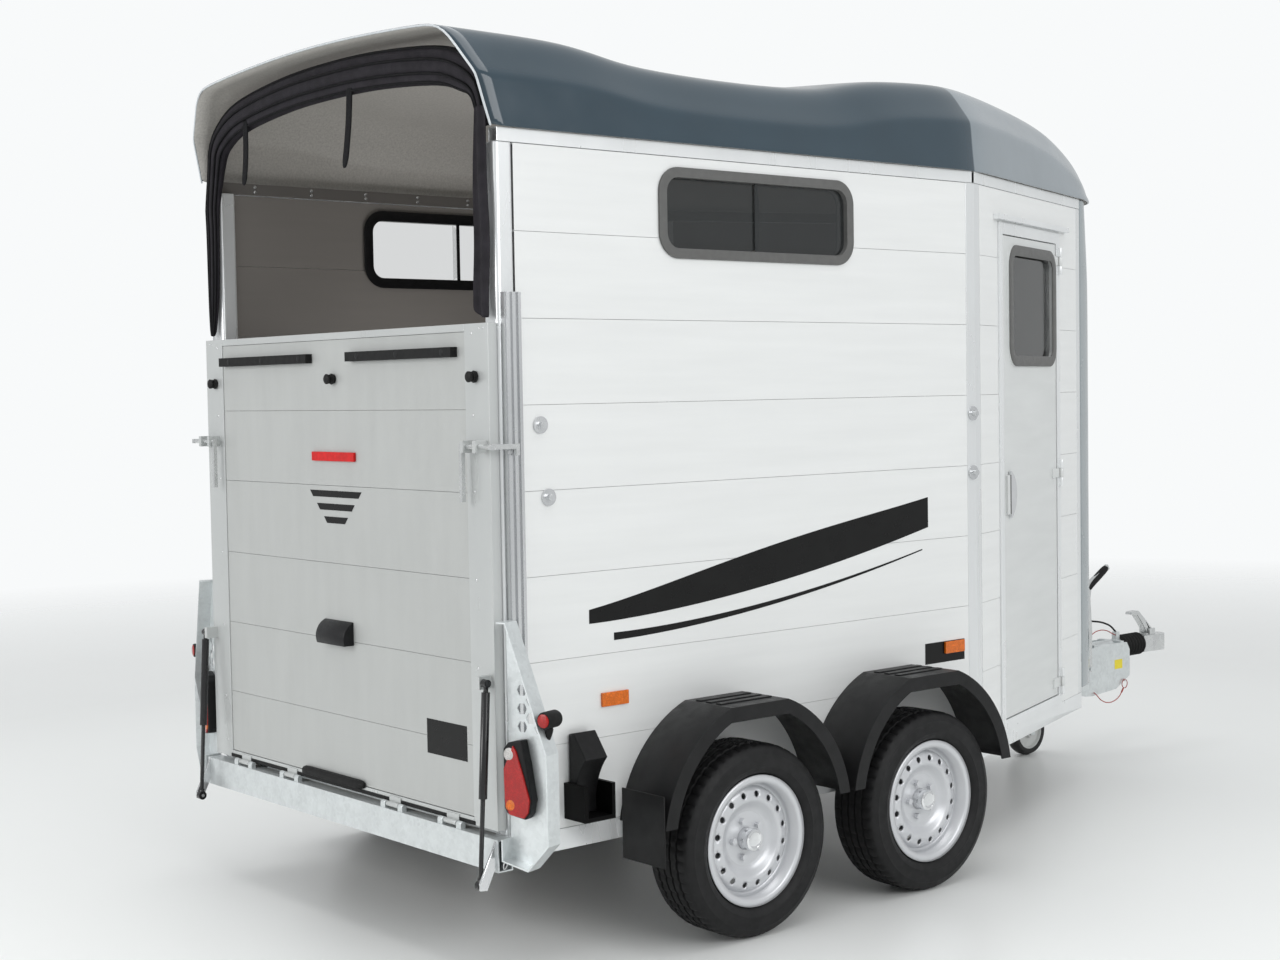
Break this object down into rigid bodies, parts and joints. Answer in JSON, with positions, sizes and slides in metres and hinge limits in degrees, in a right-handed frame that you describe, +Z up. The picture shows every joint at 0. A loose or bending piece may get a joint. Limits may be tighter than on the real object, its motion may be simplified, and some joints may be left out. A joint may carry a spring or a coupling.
{
  "type": "livestock trailer",
  "caption": "Twin-axle horse trailer with plank walls, moulded roof, rear loading ramp on gas struts, groom's door and an overrun ball coupling.",
  "frame": {"origin": "on the ground, under the middle of the whole trailer's box", "axes": "+X forwards to the coupling, +Y to the left, +Z up"},
  "size_m": [4.36, 2.0536, 2.672],
  "materials": {
    "galvanised": "satin",
    "floor_ply": "satin",
    "wall_aluminium": "satin",
    "frame_aluminium": "satin",
    "nose_gelcoat": "gloss",
    "roof_gelcoat": "gloss",
    "window_plastic": "satin",
    "window_glass": "gloss",
    "door_aluminium": "satin",
    "handle_chrome": "polished",
    "bright_zinc": "satin",
    "black_plastic": "matte",
    "lamp_red": "gloss",
    "reflector_amber": "gloss",
    "mudguard_plastic": "matte",
    "ramp_aluminium": "satin",
    "black_rubber": "matte",
    "strut_black": "satin",
    "partition_padding": "satin",
    "bar_padding": "matte",
    "jockey_rubber": "matte",
    "tarp_fabric": "matte",
    "cable_red": "satin",
    "tyre_rubber": "matte",
    "rim_silver": "satin"
  },
  "bodies": {
    "trailer": {"chassis_frame": "galvanised", "rear_beam": "galvanised", "axle_tubes": "galvanised", "floor_deck": "floor_ply", "side_walls": "wall_aluminium", "front_walls": "wall_aluminium", "corner_posts": "frame_aluminium", "edge_rails": "frame_aluminium", "nose_shell": "nose_gelcoat", "roof_shell": "roof_gelcoat", "window_frames": "window_plastic", "window_panes": "window_glass", "door_frame": "frame_aluminium", "side_fittings": "bright_zinc", "lamp_guards": "galvanised", "tail_lamps": "lamp_red", "side_reflectors": "reflector_amber", "mudguards": "mudguard_plastic", "stall_fittings": "galvanised", "overrun_housing": "bright_zinc", "bellows": "black_rubber", "jockey_clamp": "galvanised", "rolled_tarp": "tarp_fabric", "tarp_straps": "tarp_fabric", "electric_lead": "black_rubber", "breakaway_cable": "cable_red"},
    "ramp": {"ramp_panel": "ramp_aluminium", "ramp_frame": "frame_aluminium", "ramp_rubbers": "black_rubber", "ramp_lights": "lamp_red"},
    "latch_right": {"latch_lever_right": "bright_zinc"},
    "latch_left": {"latch_lever_left": "bright_zinc"},
    "strut_rod_body_right": {"strut_rod_right": "strut_black"},
    "strut_rod_body_left": {"strut_rod_left": "strut_black"},
    "strut_tube_body_right": {"strut_tube_right": "strut_black"},
    "strut_tube_body_left": {"strut_tube_left": "strut_black"},
    "door": {"door_leaf": "door_aluminium", "door_window": "window_glass"},
    "door_paddle": {"door_handle": "handle_chrome"},
    "slider_right": {"window_slider_right": "window_glass"},
    "slider_left": {"window_slider_left": "window_glass"},
    "partition": {"partition_panel": "partition_padding"},
    "rump_bar_set": {"rump_bars": "bar_padding"},
    "breast_bar_set": {"breast_bars": "bar_padding"},
    "drawtube": {"coupling_head": "bright_zinc"},
    "coupling_lever": {"coupling_handle": "bright_zinc"},
    "handbrake": {"handbrake_lever": "bright_zinc"},
    "jockey_inner": {"jockey_stem": "bright_zinc"},
    "jockey_handle": {"jockey_crank": "bright_zinc"},
    "jockey_caster": {"jockey_fork": "galvanised"},
    "jockey_roller": {"jockey_wheel": "jockey_rubber"},
    "chock": {"wheel_chock": "black_plastic"},
    "wheel_rear_right": {"tyre_rear_right": "tyre_rubber", "rim_rear_right": "rim_silver"},
    "wheel_front_right": {"tyre_front_right": "tyre_rubber", "rim_front_right": "rim_silver"},
    "wheel_rear_left": {"tyre_rear_left": "tyre_rubber", "rim_rear_left": "rim_silver"},
    "wheel_front_left": {"tyre_front_left": "tyre_rubber", "rim_front_left": "rim_silver"}
  },
  "joints": [
    {"name": "ramp_hinge", "type": "hinge", "parent": "trailer", "child": "ramp", "pos_m": [-2.113, 0, 0.413], "axis": [0, -1, 0], "range_deg": [0, 107]},
    {"name": "strut_pivot_right", "type": "hinge", "parent": "trailer", "child": "strut_rod_body_right", "pos_m": [-2.166, -0.812, 0.278], "axis": [0, -1, 0], "range_deg": [0, 95]},
    {"name": "strut_slide_right", "type": "slide", "parent": "strut_rod_body_right", "child": "strut_tube_body_right", "axis": [-0.0579, 0, -0.9983], "range_m": [0, 0.2142]},
    {"name": "latch_turn_right", "type": "hinge", "parent": "ramp", "child": "latch_right", "pos_m": [-2.132, -0.812, 1.475], "axis": [0, 1, 0], "range_deg": [0, 90]},
    {"name": "strut_pivot_left", "type": "hinge", "parent": "trailer", "child": "strut_rod_body_left", "pos_m": [-2.166, 0.812, 0.278], "axis": [0, -1, 0], "range_deg": [0, 95]},
    {"name": "strut_slide_left", "type": "slide", "parent": "strut_rod_body_left", "child": "strut_tube_body_left", "axis": [-0.0579, 0, -0.9983], "range_m": [0, 0.2142]},
    {"name": "latch_turn_left", "type": "hinge", "parent": "ramp", "child": "latch_left", "pos_m": [-2.132, 0.812, 1.475], "axis": [0, 1, 0], "range_deg": [0, 90]},
    {"name": "door_hinge", "type": "hinge", "parent": "trailer", "child": "door", "pos_m": [0.78188, -0.52157, 1.28], "axis": [0, 0, 1], "range_deg": [0, 110]},
    {"name": "door_handle_pull", "type": "hinge", "parent": "door", "child": "door_paddle", "pos_m": [0.23565, -0.71366, 1.228], "axis": [0, 0, -1], "range_deg": [0, 30]},
    {"name": "window_slide_right", "type": "slide", "parent": "trailer", "child": "slider_right", "axis": [1, 0, 0], "range_m": [0, 0.36]},
    {"name": "window_slide_left", "type": "slide", "parent": "trailer", "child": "slider_left", "axis": [1, 0, 0], "range_m": [0, 0.36]},
    {"name": "wheel_spin_rear_right", "type": "hinge", "parent": "trailer", "child": "wheel_rear_right", "pos_m": [-1.3, -0.918, 0.2885], "axis": [0, 1, 0], "continuous": true},
    {"name": "wheel_spin_front_right", "type": "hinge", "parent": "trailer", "child": "wheel_front_right", "pos_m": [-0.529, -0.918, 0.2885], "axis": [0, 1, 0], "continuous": true},
    {"name": "wheel_spin_rear_left", "type": "hinge", "parent": "trailer", "child": "wheel_rear_left", "pos_m": [-1.3, 0.918, 0.2885], "axis": [0, 1, 0], "continuous": true},
    {"name": "wheel_spin_front_left", "type": "hinge", "parent": "trailer", "child": "wheel_front_left", "pos_m": [-0.529, 0.918, 0.2885], "axis": [0, 1, 0], "continuous": true},
    {"name": "partition_swing", "type": "hinge", "parent": "trailer", "child": "partition", "pos_m": [-0.182, 0, 1], "axis": [0, 0, 1], "range_deg": [-24, 24]},
    {"name": "rump_bar_lift", "type": "slide", "parent": "trailer", "child": "rump_bar_set", "axis": [0, 0, 1], "range_m": [0, 0.25]},
    {"name": "breast_bar_lift", "type": "slide", "parent": "trailer", "child": "breast_bar_set", "axis": [0, 0, 1], "range_m": [0, 0.25]},
    {"name": "overrun_slide", "type": "slide", "parent": "trailer", "child": "drawtube", "axis": [-1, 0, 0], "range_m": [0, 0.06], "deforming": ["bellows"]},
    {"name": "coupling_handle_turn", "type": "hinge", "parent": "drawtube", "child": "coupling_lever", "pos_m": [2.082, 0, 0.505], "axis": [0, 1, 0], "range_deg": [-12, 14]},
    {"name": "handbrake_turn", "type": "hinge", "parent": "trailer", "child": "handbrake", "pos_m": [1.536, -0.084, 0.4], "axis": [0, 1, 0], "range_deg": [0, 66]},
    {"name": "jockey_crank_turn", "type": "hinge", "parent": "trailer", "child": "jockey_handle", "pos_m": [1.436, 0.205, 0.6], "axis": [0, 0, 1], "range_deg": [0, 2520]},
    {"name": "jockey_lift", "type": "slide", "parent": "trailer", "child": "jockey_inner", "axis": [0, 0, 1], "range_m": [0, 0.07]},
    {"name": "jockey_swivel", "type": "hinge", "parent": "jockey_inner", "child": "jockey_caster", "pos_m": [1.436, 0.205, 0.222], "axis": [0, 0, 1], "continuous": true},
    {"name": "jockey_roll", "type": "hinge", "parent": "jockey_caster", "child": "jockey_roller", "pos_m": [1.472, 0.205, 0.104], "axis": [0, 1, 0], "continuous": true},
    {"name": "chock_lift", "type": "slide", "parent": "trailer", "child": "chock", "axis": [0, 0, 1], "range_m": [0, 0.12]}
  ],
  "couplings": [
    {"joint": "strut_pivot_right", "follows": "ramp_hinge", "ratio": 0.88317},
    {"joint": "strut_slide_right", "follows": "ramp_hinge", "m_per_rad": 0.11417},
    {"joint": "strut_pivot_left", "follows": "ramp_hinge", "ratio": 0.88317},
    {"joint": "strut_slide_left", "follows": "ramp_hinge", "m_per_rad": 0.11417},
    {"joint": "jockey_lift", "follows": "jockey_crank_turn", "m_per_rad": 0.0015915}
  ]
}
